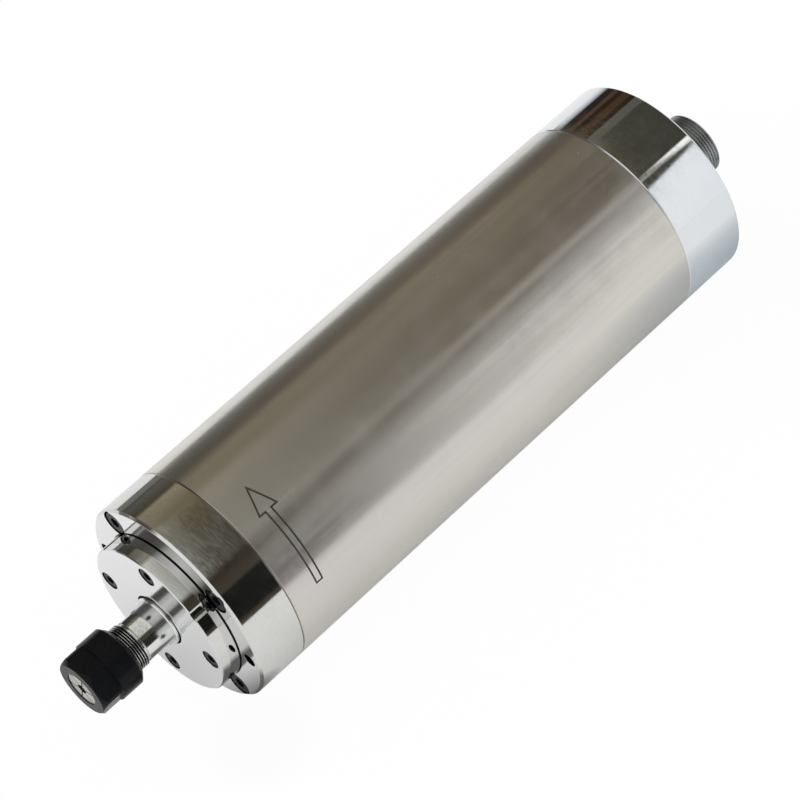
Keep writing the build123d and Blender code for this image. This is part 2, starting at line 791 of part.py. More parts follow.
def hose_fitting(angle):
    hex_front_x = rear_face_x - gasket_thickness
    hex_rear_x = hex_front_x - fitting_hex_length
    stem_front_x = rear_face_x + fitting_thread_length
    tip_x = hex_rear_x - barb_count * barb_pitch
    centre = at(port_circle_r, angle)
    stem_r, root_r, barb_r = fitting_thread_d / 2 - sliding_gap, barb_root_d / 2, barb_d / 2
    points = [(stem_front_x, 0), (stem_front_x, stem_r), (hex_rear_x, stem_r)]
    for i in range(barb_count):
        x = hex_rear_x - i * barb_pitch
        points += [(x, root_r), (x - barb_flat, root_r), (x - barb_flat, barb_r)]
    points += [(tip_x, root_r), (tip_x, 0)]
    body = Pos(0, *centre) * turned(points)
    body += hexagon(hex_rear_x, hex_front_x, fitting_hex, centre, angle)
    return body - disc(tip_x, stem_front_x, port_bore_d, centre)


def collet():
    head_r, face_r, groove_r, bore_r = collet_d / 2, collet_face_d / 2, collet_groove_d / 2, collet_bore_d / 2
    cone_length = collet_cone_depth / tan(radians(collet_cone_angle))
    body = turned([
        (collet_back_x, bore_r), (collet_back_x, taper_r(collet_back_x)), (collet_taper_x, head_r),
        (collet_taper_x, groove_r), (collet_head_back_x, groove_r), (collet_head_back_x, head_r),
        (collet_face_x - cone_length, head_r), (collet_face_x, face_r), (collet_face_x, bore_r)])
    slot_length = collet_length - collet_slot_land
    slot = Box(slot_length, collet_d, collet_slot_width)
    front_x = collet_face_x - slot_length / 2
    rear_x = collet_back_x + slot_length / 2
    half_step = 180 / collet_slots_each_end
    for angle in spaced(collet_slots_each_end):
        turn = angle + collet_slot_turn
        body -= Rot(turn, 0, 0) * Pos(front_x, collet_d / 2, 0) * slot
        body -= Rot(turn + half_step, 0, 0) * Pos(rear_x, collet_d / 2, 0) * slot
    return body


def collet_nut():
    nut_r, lip_r, relief_r = nut_d / 2, nut_lip_d / 2, nut_relief_d / 2
    seat_r = collet_d / 2 + nut_seat_gap
    slope = tan(radians(collet_cone_angle))
    cone_back_x = collet_face_x - collet_cone_depth / slope
    mouth_r = collet_face_d / 2 + nut_seat_gap - nut_overhang * slope
    body = turned([
        (nut_back_x, thread_d / 2), (nut_back_x, nut_r - nut_back_chamfer_depth),
        (nut_back_x + nut_back_chamfer_length, nut_r), (nut_face_x - nut_front_chamfer_length, nut_r),
        (nut_face_x, nut_r - nut_front_chamfer_depth), (nut_face_x, mouth_r),
        (cone_back_x, seat_r), (collet_head_back_x, seat_r), (collet_head_back_x - nut_seat_gap, lip_r),
        (nut_lip_x, lip_r), (nut_relief_end_x, relief_r), (nut_thread_end_x, relief_r),
        (nut_thread_end_x, thread_d / 2)])
    corners = disc(nut_hex_back_x, nut_face_x, 2 * nut_d)
    corners -= hexagon(nut_hex_back_x, nut_face_x, nut_hex, turn=nut_rest_turn)
    return body - corners


def save(node, shape):
    export_step(shape, "parts/" + node + ".step")


def build_housing_pieces():
    save("front_cap", front_cap())
    save("front_cap_screws", cap_screws())
    save("front_housing", front_housing())
    save("flange_screws", flange_screws())
    save("outer_shell", outer_shell())
    save("water_jacket", water_jacket())
    save("jacket_o_rings", jacket_o_rings())
    save("port_o_rings", port_o_rings())
    save("rear_carrier", rear_carrier())
    save("preload_spring", preload_spring())
    save("rear_cap", rear_cap())
    save("rear_cap_screws", rear_cap_screws())
    save("fitting_washers", fitting_washers())
    save("outlet_fitting", hose_fitting(outlet_angle))
    save("inlet_fitting", hose_fitting(inlet_angle))


def build_electrical_pieces():
    save("stator_core", stator_core())
    save("stator_winding", stator_winding())
    save("slot_wedges", slot_wedges())
    save("receptacle_shell", receptacle_shell())
    save("receptacle_gasket", receptacle_gasket())
    save("receptacle_insulator", receptacle_insulator())
    save("receptacle_pins", receptacle_pins())
    save("receptacle_nut", receptacle_nut())
    save("phase_leads", phase_leads())


def build_bearings():
    first, second = front_bearings()
    bearings = (("front_bearing_a", first), ("front_bearing_b", second), ("rear_bearing", rear_bearing()))
    for name, pieces in bearings:
        for part_name, piece in zip(("outer_ring", "inner_ring", "balls", "cage"), pieces):
            save(name + "_" + part_name, piece)
    outer_spacer, inner_spacer = spacers()
    save("outer_spacer", outer_spacer)
    save("inner_spacer", inner_spacer)


def build_rotating_pieces():
    save("shaft", shaft())
    save("slinger_ring", slinger_ring())
    front_nut = lock_nut(bearings_end_x, front_lock_nut_width, front_lock_nut_d, front_bearing_bore)
    rear_nut = lock_nut(rear_bearing_back_x, rear_lock_nut_width, rear_lock_nut_d, rear_bearing_bore)
    save("front_lock_nut", front_nut)
    save("rear_lock_nut", rear_nut)
    save("rotor_core", rotor_core())
    save("rotor_cage", rotor_cage())
    save("front_balance_ring", balance_ring(core_x + end_ring_length, front_balance_angles))
    rear_ring_x = core_rear_x - end_ring_length - balance_ring_length
    save("rear_balance_ring", balance_ring(rear_ring_x, rear_balance_angles))
    save("collet", collet())
    save("collet_nut", collet_nut())


os.makedirs("parts", exist_ok=True)
build_housing_pieces()
build_electrical_pieces()
build_bearings()
build_rotating_pieces()
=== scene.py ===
import json
import math
import bpy
import bmesh
from mathutils import Matrix, Vector

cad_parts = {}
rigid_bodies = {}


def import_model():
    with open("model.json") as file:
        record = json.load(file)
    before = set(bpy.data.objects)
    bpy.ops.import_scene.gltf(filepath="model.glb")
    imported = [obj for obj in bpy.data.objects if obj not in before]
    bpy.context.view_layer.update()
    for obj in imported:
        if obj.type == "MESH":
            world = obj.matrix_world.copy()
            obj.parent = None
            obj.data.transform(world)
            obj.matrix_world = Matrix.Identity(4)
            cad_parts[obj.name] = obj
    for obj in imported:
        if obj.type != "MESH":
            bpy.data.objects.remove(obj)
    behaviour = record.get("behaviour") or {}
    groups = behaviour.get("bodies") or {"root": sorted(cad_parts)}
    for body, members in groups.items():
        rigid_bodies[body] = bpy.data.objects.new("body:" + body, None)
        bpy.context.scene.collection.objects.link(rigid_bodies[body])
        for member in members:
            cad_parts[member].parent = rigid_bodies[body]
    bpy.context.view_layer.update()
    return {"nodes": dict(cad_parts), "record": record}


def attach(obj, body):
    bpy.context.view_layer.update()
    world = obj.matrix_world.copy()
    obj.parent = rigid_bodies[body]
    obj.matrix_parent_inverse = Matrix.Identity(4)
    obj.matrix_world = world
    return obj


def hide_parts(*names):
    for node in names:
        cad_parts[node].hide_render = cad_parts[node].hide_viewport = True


for left in list(bpy.data.objects):          # the start-up cube, lamp and camera
    bpy.data.objects.remove(left)
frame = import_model()
nodes = frame["nodes"]
mm = 0.001
print("frame loaded:", len(nodes), "nodes")


# node helpers for the finishes

def newFinish(name):
    finish = bpy.data.materials.new(name)
    finish.use_nodes = True
    tree = finish.node_tree
    tree.nodes.clear()
    shader = tree.nodes.new("ShaderNodeBsdfPrincipled")
    out = tree.nodes.new("ShaderNodeOutputMaterial")
    tree.links.new(shader.outputs["BSDF"], out.inputs["Surface"])
    return finish, tree, shader


def plug(tree, value, socket):                                # links a socket, and sets anything else
    if isinstance(value, bpy.types.NodeSocket):
        tree.links.new(value, socket)
    else:
        socket.default_value = value


def calc(tree, operation, first, second=0.0, clamp=False):
    node = tree.nodes.new("ShaderNodeMath")
    node.operation = operation
    node.use_clamp = clamp
    plug(tree, first, node.inputs[0])
    plug(tree, second, node.inputs[1])
    return node.outputs[0]


def vectorCalc(tree, operation, first, second, result="Vector"):
    node = tree.nodes.new("ShaderNodeVectorMath")
    node.operation = operation
    plug(tree, first, node.inputs[0])
    plug(tree, second, node.inputs[1])
    return node.outputs[result]


def partsOf(tree, vector):                                    # its x, y and z
    node = tree.nodes.new("ShaderNodeSeparateXYZ")
    plug(tree, vector, node.inputs[0])
    return node.outputs


def objectPlace(tree):
    return tree.nodes.new("ShaderNodeTexCoord").outputs["Object"]


def stretched(tree, place, scale):
    node = tree.nodes.new("ShaderNodeMapping")
    node.inputs["Scale"].default_value = scale
    plug(tree, place, node.inputs["Vector"])
    return node.outputs["Vector"]


def cloud(tree, place, size, detail, roughness=0.5):          # size in mm
    node = tree.nodes.new("ShaderNodeTexNoise")
    node.inputs["Scale"].default_value = 1 / (size * mm)
    node.inputs["Detail"].default_value = detail
    node.inputs["Roughness"].default_value = roughness
    plug(tree, place, node.inputs["Vector"])
    return node.outputs["Fac"]


def lineNoise(tree, number, size):                            # noise along one number, size in mm
    node = tree.nodes.new("ShaderNodeTexNoise")
    node.noise_dimensions = "1D"
    node.inputs["Scale"].default_value = 1 / (size * mm)
    node.inputs["Detail"].default_value = 2.0
    plug(tree, number, node.inputs["W"])
    return node.outputs["Fac"]


def spread(tree, value, low, high, toLow=0.0, toHigh=1.0):    # a number range turned into another
    node = tree.nodes.new("ShaderNodeMapRange")
    plug(tree, value, node.inputs["Value"])
    node.inputs["From Min"].default_value = low
    node.inputs["From Max"].default_value = high
    node.inputs["To Min"].default_value = toLow
    node.inputs["To Max"].default_value = toHigh
    return node.outputs["Result"]


def mixed(tree, amount, first, second):
    node = tree.nodes.new("ShaderNodeMix")
    node.data_type = "RGBA"
    plug(tree, amount, node.inputs["Factor"])
    plug(tree, first, node.inputs[6])                         # 6 and 7 are its two colours, 2 their mix
    plug(tree, second, node.inputs[7])
    return node.outputs[2]


def mixedShaders(tree, amount, first, second):
    node = tree.nodes.new("ShaderNodeMixShader")
    plug(tree, amount, node.inputs[0])
    plug(tree, first, node.inputs[1])
    plug(tree, second, node.inputs[2])
    return node.outputs[0]


def relief(tree, height, depth, under=None):                  # depth in mm
    node = tree.nodes.new("ShaderNodeBump")
    node.inputs["Strength"].default_value = 1.0
    node.inputs["Distance"].default_value = depth * mm
    plug(tree, height, node.inputs["Height"])
    if under is not None:
        plug(tree, under, node.inputs["Normal"])
    return node.outputs["Normal"]


def within(tree, value, low, high, soft):                     # 1 between two limits, with soft edges
    rising = spread(tree, value, low - soft / 2, low + soft / 2)
    falling = spread(tree, value, high + soft / 2, high - soft / 2)
    return calc(tree, "MULTIPLY", rising, falling)


def radiusAndLength(tree, place):        # distance from the spindle's axis, and place along it
    x, y, z = partsOf(tree, place)
    square = calc(tree, "ADD", calc(tree, "MULTIPLY", y, y), calc(tree, "MULTIPLY", z, z))
    return calc(tree, "SQRT", square), x


def turnedRun(tree, place):              # grows outwards on a face and lengthwise on a barrel, as a tool runs
    radius, along = radiusAndLength(tree, place)
    return calc(tree, "ADD", radius, along)


def colour(values):
    return (values[0], values[1], values[2], 1.0)


# Noise lies mostly between 0.3 and 0.7, and each effect uses its own part of that. Edges and front faces
# are found by how well two directions agree, where 1 is fully. A smudge's size is a share of a patch's,
# and the fade is in mm.
masks = {"patches": (0.35, 0.65), "grain": (0.42, 0.62), "handled": (0.35, 0.6), "gloss": (0.3, 0.7),
         "smudge": (0.45, 0.7), "edge": (0.995, 0.80), "front": (0.9, 1.0), "edgeSamples": 6,
         "leastHandled": 0.25, "smudgeShare": 0.45, "holeFade": 0.8}


def edgeMask(tree, radius):              # 1 on sharp edges, and the normal with those edges rounded
    soft = tree.nodes.new("ShaderNodeBevel")
    soft.samples = masks["edgeSamples"]
    soft.inputs["Radius"].default_value = radius * mm
    rounded = soft.outputs["Normal"]
    real = tree.nodes.new("ShaderNodeNewGeometry").outputs["Normal"]
    alike = vectorCalc(tree, "DOT_PRODUCT", rounded, real, "Value")
    return spread(tree, alike, *masks["edge"]), rounded


def frontMask(tree):                     # 1 on faces that look towards the nose
    normal = tree.nodes.new("ShaderNodeTexCoord").outputs["Normal"]
    return spread(tree, partsOf(tree, normal)[0], *masks["front"])


def oilAndShadeMask(tree, place, oilAndShade):           # 1 below a radius, between two places along the axis: where oil and painted shade go
    radius, along = radiusAndLength(tree, place)
    deep = spread(tree, radius, oilAndShade["radius"] * mm, (oilAndShade["radius"] - oilAndShade["depth"]) * mm)
    inside = within(tree, along, oilAndShade["from"] * mm, oilAndShade["to"] * mm, oilAndShade["soft"] * mm)
    return calc(tree, "MULTIPLY", deep, inside)


def holeShadeMask(tree, place, hole):         # 1 in a lengthwise hole, behind its mouth, where shade is painted
    fromHole = vectorCalc(tree, "SUBTRACT", place, (0, hole["y"] * mm, hole["z"] * mm))
    radius, along = radiusAndLength(tree, fromHole)
    near = calc(tree, "LESS_THAN", radius, hole["radius"] * mm)
    inside = spread(tree, along, hole["below"] * mm, (hole["below"] - masks["holeFade"]) * mm)
    return calc(tree, "MULTIPLY", near, inside)


# machined metal: two tints in soft patches, turning marks, fine grain, worn edges

def metalFinish(name, look):
    finish, tree, shader = newFinish(name)
    place = objectPlace(tree)
    patchPlace = stretched(tree, place, look.get("patchStretch", (1, 1, 1)))
    patches = cloud(tree, patchPlace, look["patch"], 4)
    grain = cloud(tree, stretched(tree, place, look["grainStretch"]), look["grain"], 5, 0.6)
    smudge = cloud(tree, place, look["patch"] * masks["smudgeShare"], 6, 0.65)
    tint = mixed(tree, spread(tree, patches, *masks["patches"]), colour(look["tint"]),
                 colour(look["secondTint"]))
    grainShade = spread(tree, grain, *masks["grain"], 0.0, look["grainShade"])
    tint = mixed(tree, grainShade, tint, colour(look["grainTint"]))
    if "faceTint" in look:                                     # fine-turned faces scatter more light
        tint = mixed(tree, frontMask(tree), tint, colour(look["faceTint"]))
    worn, rounded = edgeMask(tree, look["edge"])
    handled = spread(tree, smudge, *masks["handled"], masks["leastHandled"], 1.0)
    wornHere = calc(tree, "MULTIPLY", worn, handled, True)
    tint = mixed(tree, calc(tree, "MULTIPLY", wornHere, look["wear"]), tint, colour(look["wearTint"]))
    for oilAndShade in look.get("oilAndShade", []):                            # oil and painted shade darken thread roots, gaps and seams
        tint = mixed(tree, oilAndShadeMask(tree, place, oilAndShade), tint, colour(oilAndShade["tint"]))
    for hole in look.get("shadedHoles", []):                         # painted shade inside a tapped hole
        tint = mixed(tree, holeShadeMask(tree, place, hole), tint, colour(hole["tint"]))
    plug(tree, tint, shader.inputs["Base Color"])
    shader.inputs["Metallic"].default_value = look["metallic"]
    gloss = spread(tree, grain, *masks["gloss"], *look["roughness"])
    gloss = calc(tree, "ADD", gloss, spread(tree, smudge, *masks["smudge"], 0.0, look["smudge"]))
    plug(tree, gloss, shader.inputs["Roughness"])
    shader.inputs["IOR"].default_value = look.get("ior", 1.5)
    wavy = relief(tree, patches, look["waviness"], rounded)
    marks = lineNoise(tree, turnedRun(tree, place), look["turning"])
    turned = relief(tree, marks, look["turningDepth"], wavy)
    plug(tree, relief(tree, grain, look["grainDepth"], turned), shader.inputs["Normal"])
    return finish


metalLooks = {
    "ground_steel": {
        "tint": (0.67, 0.65, 0.60), "secondTint": (0.62, 0.59, 0.575), "grainTint": (0.54, 0.52, 0.48),
        "grainShade": 0.15, "patch": 22.0, "patchStretch": (0.25, 1, 1), "grain": 2.4,
        "grainStretch": (0.03, 1, 1), "grainDepth": 0.0005, "waviness": 0.04, "turning": 0.22,
        "turningDepth": 0.0008, "roughness": (0.17, 0.24), "smudge": 0.05, "edge": 0.12, "wear": 0.25,
        "wearTint": (0.86, 0.85, 0.83), "metallic": 1.0,
        # oil and painted shade in the seam behind the front ring
        "oilAndShade": [{"from": -16.8, "to": -15.9, "soft": 0.02, "radius": 32.49, "depth": 0.06,
                 "tint": (0.36, 0.34, 0.30)}]},
    "polished_steel": {
        "tint": (0.70, 0.70, 0.69), "secondTint": (0.66, 0.66, 0.64), "grainTint": (0.58, 0.58, 0.56),
        "grainShade": 0.3, "patch": 14.0, "grain": 0.5, "grainStretch": (1, 0.25, 0.25), "grainDepth": 0.0006,
        "waviness": 0.003, "turning": 0.16, "turningDepth": 0.0006, "roughness": (0.05, 0.09),
        "smudge": 0.015, "edge": 0.15, "wear": 0.4, "wearTint": (0.92, 0.92, 0.91), "metallic": 1.0,
        "faceTint": (0.84, 0.845, 0.85),
        # oil and painted shade: near black in the gap on the front face, darker at the seam
        "oilAndShade": [{"from": -1.2, "to": 0.34, "soft": 0.12, "radius": 24.64, "depth": 0.02,
                 "tint": (0.02, 0.02, 0.018)},
                {"from": -0.3, "to": 0.05, "soft": 0.02, "radius": 24.9, "depth": 0.1,
                 "tint": (0.02, 0.02, 0.018)},
                {"from": -16.4, "to": -15.7, "soft": 0.02, "radius": 32.49, "depth": 0.06,
                 "tint": (0.36, 0.34, 0.30)}],
        # painted shade inside the two jack holes
        "shadedHoles": [{"y": side * 28.4, "z": 0.0, "radius": 2.14, "below": -0.3, "tint": (0.03, 0.03, 0.032)}
                  for side in (1, -1)]},
    "chrome_cap": {
        "tint": (0.77, 0.795, 0.815), "secondTint": (0.74, 0.765, 0.79), "grainTint": (0.69, 0.71, 0.73),
        "grainShade": 0.15, "patch": 16.0, "grain": 0.6, "grainStretch": (1, 0.3, 0.3), "grainDepth": 0.0002,
        "waviness": 0.004, "turning": 0.4, "turningDepth": 0.0003, "roughness": (0.03, 0.07),
        "smudge": 0.03, "edge": 0.25, "wear": 0.6, "wearTint": (0.93, 0.94, 0.95), "metallic": 1.0},
    "shaft_steel": {
        "tint": (0.77, 0.78, 0.77), "secondTint": (0.73, 0.74, 0.73), "grainTint": (0.6, 0.61, 0.6),
        "grainShade": 0.25, "patch": 9.0, "grain": 0.45, "grainStretch": (1.6, 0.2, 0.2),
        "grainDepth": 0.0005, "waviness": 0.001, "turning": 0.12, "turningDepth": 0.0006,
        "roughness": (0.09, 0.13), "smudge": 0.015, "edge": 0.15, "wear": 0.5,
        "wearTint": (0.9, 0.9, 0.88), "metallic": 1.0,
        # oil and painted shade, near black in the thread roots of the nose
        "oilAndShade": [{"from": 16.9, "to": 31.2, "soft": 0.1, "radius": 7.0, "depth": 0.17,
                 "tint": (0.035, 0.032, 0.026)}]},
    "black_oxide": {
        "tint": (0.0055, 0.006, 0.007), "secondTint": (0.004, 0.0045, 0.005),
        "grainTint": (0.009, 0.009, 0.011), "grainShade": 0.4, "patch": 7.0, "grain": 0.35,
        "grainStretch": (1, 1, 1), "grainDepth": 0.0016,
        "waviness": 0.002, "turning": 0.14, "turningDepth": 0.0008, "roughness": (0.17, 0.27),
        "smudge": 0.08, "edge": 0.22, "wear": 0.3, "wearTint": (0.03, 0.034, 0.042), "metallic": 0.0,
        "ior": 1.18},
    "collet_steel": {
        "tint": (0.56, 0.54, 0.49), "secondTint": (0.46, 0.44, 0.40), "grainTint": (0.30, 0.28, 0.25),
        "grainShade": 0.5, "patch": 4.0, "grain": 0.3, "grainStretch": (1, 1, 1), "grainDepth": 0.002,
        "waviness": 0.002, "turning": 0.11, "turningDepth": 0.0025, "roughness": (0.2, 0.34),
        "smudge": 0.1, "edge": 0.15, "wear": 0.6, "wearTint": (0.85, 0.83, 0.78), "metallic": 1.0},
    "bearing_steel": {
        "tint": (0.68, 0.68, 0.69), "secondTint": (0.64, 0.64, 0.66), "grainTint": (0.56, 0.56, 0.58),
        "grainShade": 0.25, "patch": 6.0, "grain": 0.3, "grainStretch": (1, 0.3, 0.3), "grainDepth": 0.0004,
        "waviness": 0.001, "turning": 0.1, "turningDepth": 0.0006, "roughness": (0.06, 0.13),
        "smudge": 0.04, "edge": 0.15, "wear": 0.5, "wearTint": (0.88, 0.88, 0.88), "metallic": 1.0},
    "plated_nickel": {
        "tint": (0.40, 0.42, 0.41), "secondTint": (0.34, 0.36, 0.355), "grainTint": (0.26, 0.27, 0.27),
        "grainShade": 0.4, "patch": 6.0, "grain": 0.5, "grainStretch": (1, 0.4, 0.4), "grainDepth": 0.0015,
        "waviness": 0.003, "turning": 0.15, "turningDepth": 0.0015, "roughness": (0.22, 0.36),
        "smudge": 0.08, "edge": 0.2, "wear": 0.5, "wearTint": (0.66, 0.67, 0.66), "metallic": 1.0},
    "aluminium": {
        "tint": (0.74, 0.745, 0.75), "secondTint": (0.69, 0.70, 0.71), "grainTint": (0.58, 0.59, 0.6),
        "grainShade": 0.35, "patch": 12.0, "grain": 0.5, "grainStretch": (1, 0.3, 0.3), "grainDepth": 0.0015,
        "waviness": 0.002, "turning": 0.3, "turningDepth": 0.004, "roughness": (0.25, 0.4),
        "smudge": 0.08, "edge": 0.25, "wear": 0.5, "wearTint": (0.88, 0.88, 0.89), "metallic": 1.0},
    "brass": {
        "tint": (0.74, 0.53, 0.24), "secondTint": (0.68, 0.47, 0.20), "grainTint": (0.5, 0.33, 0.14),
        "grainShade": 0.35, "patch": 8.0, "grain": 0.4, "grainStretch": (1, 0.4, 0.4), "grainDepth": 0.0012,
        "waviness": 0.002, "turning": 0.18, "turningDepth": 0.003, "roughness": (0.18, 0.32),
        "smudge": 0.08, "edge": 0.2, "wear": 0.5, "wearTint": (0.9, 0.72, 0.42), "metallic": 1.0},
}


# moulded, wound and stacked stuff: two tints, fine bands one way, soft relief

def bands(tree, place, look):            # they lie about 0.6 of the pattern's size apart
    node = tree.nodes.new("ShaderNodeTexWave")
    node.wave_type = "BANDS"
    node.bands_direction = look["patternAlong"]
    node.inputs["Scale"].default_value = 0.5 / (look["pattern"] * mm)
    node.inputs["Distortion"].default_value = look["patternWander"]
    node.inputs["Detail"].default_value = 2.0
    plug(tree, place, node.inputs["Vector"])
    return node.outputs["Fac"]


def stuffFinish(name, look):
    finish, tree, shader = newFinish(name)
    place = objectPlace(tree)
    patches = cloud(tree, place, look["patch"], 5)
    fine = cloud(tree, place, look["fine"], 3)
    pattern = bands(tree, place, look)
    tint = mixed(tree, spread(tree, patches, *masks["patches"]), colour(look["tint"]),
                 colour(look["secondTint"]))
    tint = mixed(tree, calc(tree, "MULTIPLY", pattern, look["patternShade"]), tint,
                 colour(look["patternTint"]))
    worn, rounded = edgeMask(tree, look["edge"])
    tint = mixed(tree, calc(tree, "MULTIPLY", worn, look["wear"]), tint, colour(look["wearTint"]))
    plug(tree, tint, shader.inputs["Base Color"])
    shader.inputs["Metallic"].default_value = look["metallic"]
    plug(tree, spread(tree, patches, *masks["gloss"], *look["roughness"]), shader.inputs["Roughness"])
    striped = relief(tree, pattern, look["patternDepth"], rounded)
    plug(tree, relief(tree, fine, look["fineDepth"], striped), shader.inputs["Normal"])
    return finish


stuffLooks = {
    "lamination": {
        "tint": (0.30, 0.31, 0.34), "secondTint": (0.25, 0.26, 0.29), "pattern": 0.5, "patternAlong": "X",
        "patternWander": 0.0, "patternShade": 0.55, "patternTint": (0.14, 0.145, 0.16),
        "patternDepth": 0.03, "patch": 10.0, "fine": 0.4, "fineDepth": 0.004, "edge": 0.2, "wear": 0.4,
        "wearTint": (0.5, 0.5, 0.52), "metallic": 0.8, "roughness": (0.34, 0.5)},
    "copper": {
        "tint": (0.62, 0.26, 0.11), "secondTint": (0.50, 0.20, 0.08), "pattern": 0.55,
        "patternAlong": "DIAGONAL", "patternWander": 1.2, "patternShade": 0.6,
        "patternTint": (0.30, 0.10, 0.04),
        "patternDepth": 0.12, "patch": 7.0, "fine": 0.6, "fineDepth": 0.01, "edge": 0.3, "wear": 0.3,
        "wearTint": (0.85, 0.48, 0.26), "metallic": 0.75, "roughness": (0.22, 0.38)},
    "black_rubber": {
        "tint": (0.026, 0.026, 0.027), "secondTint": (0.018, 0.018, 0.02), "pattern": 1.6,
        "patternAlong": "X", "patternWander": 3.0, "patternShade": 0.15, "patternTint": (0.04, 0.04, 0.042),
        "patternDepth": 0.004, "patch": 4.0, "fine": 0.25, "fineDepth": 0.006, "edge": 0.2, "wear": 0.3,
        "wearTint": (0.07, 0.07, 0.072), "metallic": 0.0, "roughness": (0.55, 0.75)},
    "phenolic": {
        "tint": (0.36, 0.19, 0.07), "secondTint": (0.29, 0.15, 0.055), "pattern": 0.7,
        "patternAlong": "DIAGONAL", "patternWander": 0.6, "patternShade": 0.5,
        "patternTint": (0.20, 0.095, 0.03),
        "patternDepth": 0.01, "patch": 3.0, "fine": 0.3, "fineDepth": 0.005, "edge": 0.15, "wear": 0.4,
        "wearTint": (0.5, 0.31, 0.15), "metallic": 0.0, "roughness": (0.4, 0.6)},
    "dark_plastic": {
        "tint": (0.035, 0.035, 0.04), "secondTint": (0.026, 0.026, 0.03), "pattern": 1.2, "patternAlong": "Y",
        "patternWander": 4.0, "patternShade": 0.1, "patternTint": (0.05, 0.05, 0.055),
        "patternDepth": 0.002, "patch": 5.0, "fine": 0.2, "fineDepth": 0.004, "edge": 0.2, "wear": 0.4,
        "wearTint": (0.09, 0.09, 0.1), "metallic": 0.0, "roughness": (0.36, 0.52)},
    "wedge_board": {
        "tint": (0.70, 0.64, 0.48), "secondTint": (0.62, 0.56, 0.41), "pattern": 0.8, "patternAlong": "X",
        "patternWander": 2.0, "patternShade": 0.3, "patternTint": (0.5, 0.43, 0.3),
        "patternDepth": 0.006, "patch": 6.0, "fine": 0.3, "fineDepth": 0.008, "edge": 0.2, "wear": 0.3,
        "wearTint": (0.8, 0.76, 0.62), "metallic": 0.0, "roughness": (0.55, 0.7)},
    "lead_sleeve": {
        "tint": (0.42, 0.035, 0.03), "secondTint": (0.34, 0.028, 0.024), "pattern": 0.6, "patternAlong": "X",
        "patternWander": 1.5, "patternShade": 0.35, "patternTint": (0.22, 0.018, 0.015),
        "patternDepth": 0.02, "patch": 4.0, "fine": 0.2, "fineDepth": 0.004, "edge": 0.2, "wear": 0.3,
        "wearTint": (0.6, 0.1, 0.08), "metallic": 0.0, "roughness": (0.42, 0.58)},
}

finishes = {}
for makeFinish, looks in ((metalFinish, metalLooks), (stuffFinish, stuffLooks)):
    for slotName, slotLook in looks.items():
        finishes[slotName] = makeFinish(slotName + "_finish", slotLook)
print("finishes made:", len(finishes))

slotOf = {part["node"]: part["material_slot"] for part in frame["record"]["subparts"]}
for nodeName, node in nodes.items():
    node.data.materials.clear()
    node.data.materials.append(finishes[slotOf[nodeName]])
print("nodes finished:", len(nodes))


# modelling helpers

def nothingSelected():
    for thing in bpy.context.view_layer.objects:
        thing.select_set(False)


def onlySelected(thing):
    nothingSelected()
    thing.select_set(True)
    bpy.context.view_layer.objects.active = thing


def mergedCopy(nodeName, name, weld):    # a closed copy of a node's loose triangles
    piece = bpy.data.objects.new(name, nodes[nodeName].data.copy())
    bpy.context.scene.collection.objects.link(piece)
    onlySelected(piece)
    bpy.ops.mesh.customdata_custom_splitnormals_clear()
    bpy.ops.object.mode_set(mode="EDIT")
    bpy.ops.mesh.select_all(action="SELECT")
    bpy.ops.mesh.remove_doubles(threshold=weld)
    bpy.ops.object.mode_set(mode="OBJECT")
    return piece


# Threads: a V groove is wound round the axis and cut out of a copy of the plain node. The cutter stands
# out over the thread's outside and widens there on both sides. The welds are in metres.
threadTool = {"over": 0.25, "widen": 0.6, "nodeWeld": 1e-6, "cutterWeld": 1e-7, "smoothAngle": 28}


def threadCutter(cut):
    nothingSelected()
    bpy.ops.mesh.primitive_circle_add(vertices=3, radius=1.0, fill_type="NGON", location=(0, 0, 0))
    cutter = bpy.context.active_object
    cutter.name = cut["name"] + "Cutter"
    top = cut["radius"] + threadTool["over"]
    half = cut["pitch"] * cut["mouth"] / 2 + threadTool["over"] * threadTool["widen"]
    corners = ((-half, top), (half, top), (0.0, cut["radius"] - cut["depth"]))
    start = cut["from"] - cut["pitch"] * cut["runOut"]
    for corner, (along, out) in zip(cutter.data.vertices, corners):
        corner.co = ((start + along) * mm, out * mm, 0.0)
    turns = (cut["to"] - cut["from"]) / cut["pitch"] + 2 * cut["runOut"]
    wind = cutter.modifiers.new("wind", "SCREW")
    wind.axis = "X"
    wind.angle = 2 * math.pi * turns
    wind.screw_offset = turns * cut["pitch"] * mm
    wind.steps = wind.render_steps = int(turns * cut["facets"])
    wind.use_normal_calculate = True
    onlySelected(cutter)
    bpy.ops.object.modifier_apply(modifier="wind")
    bpy.ops.object.mode_set(mode="EDIT")
    bpy.ops.mesh.select_all(action="SELECT")
    bpy.ops.mesh.remove_doubles(threshold=threadTool["cutterWeld"])
    bpy.ops.mesh.select_all(action="DESELECT")
    bpy.ops.mesh.select_mode(type="EDGE")
    bpy.ops.mesh.select_non_manifold(extend=False)
    bpy.ops.mesh.edge_face_add()
    bpy.ops.mesh.select_all(action="SELECT")
    bpy.ops.mesh.normals_make_consistent(inside=False)
    bpy.ops.object.mode_set(mode="OBJECT")
    return cutter


def cutThread(nodeName, body, cut):
    piece = mergedCopy(nodeName, cut["name"], threadTool["nodeWeld"])
    cutter = threadCutter(cut)
    chop = piece.modifiers.new("thread", "BOOLEAN")
    chop.operation = "DIFFERENCE"
    chop.solver = "EXACT"
    chop.object = cutter
    onlySelected(piece)
    bpy.ops.object.modifier_apply(modifier="thread")
    bpy.data.objects.remove(cutter)
    onlySelected(piece)
    bpy.ops.object.shade_smooth_by_angle(angle=math.radians(threadTool["smoothAngle"]))
    piece.data.materials.clear()
    piece.data.materials.append(finishes[slotOf[nodeName]])
    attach(piece, body)
    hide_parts(nodeName)
    print(cut["name"], "made:", len(piece.data.polygons), "faces")


